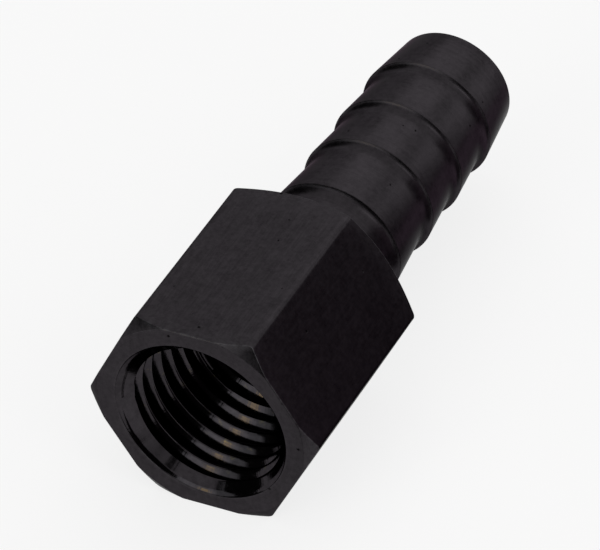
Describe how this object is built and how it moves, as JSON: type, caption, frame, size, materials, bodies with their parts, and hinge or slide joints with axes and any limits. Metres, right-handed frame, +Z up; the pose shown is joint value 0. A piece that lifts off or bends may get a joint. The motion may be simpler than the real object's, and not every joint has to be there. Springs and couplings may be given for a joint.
{
  "type": "hose barb fitting",
  "caption": "Turned hexagonal adapter, bored through, with a tapped mouth at one end and a barbed tail for a push-on hose at the other.",
  "frame": {"origin": "on the fitting's own axis, in the face of its tapped mouth", "axes": "+X along the axis from the mouth to the tip of the hose tail, +Z up and square to the hexagon's upper flat, with the opposite flat facing down"},
  "size_m": [0.0419, 0.0182, 0.0158],
  "materials": {
    "blackened_brass": "black satin finish over brass, worn through on the thread's crests"
  },
  "bodies": {
    "root": {"fitting": "blackened_brass"}
  },
  "joints": []
}
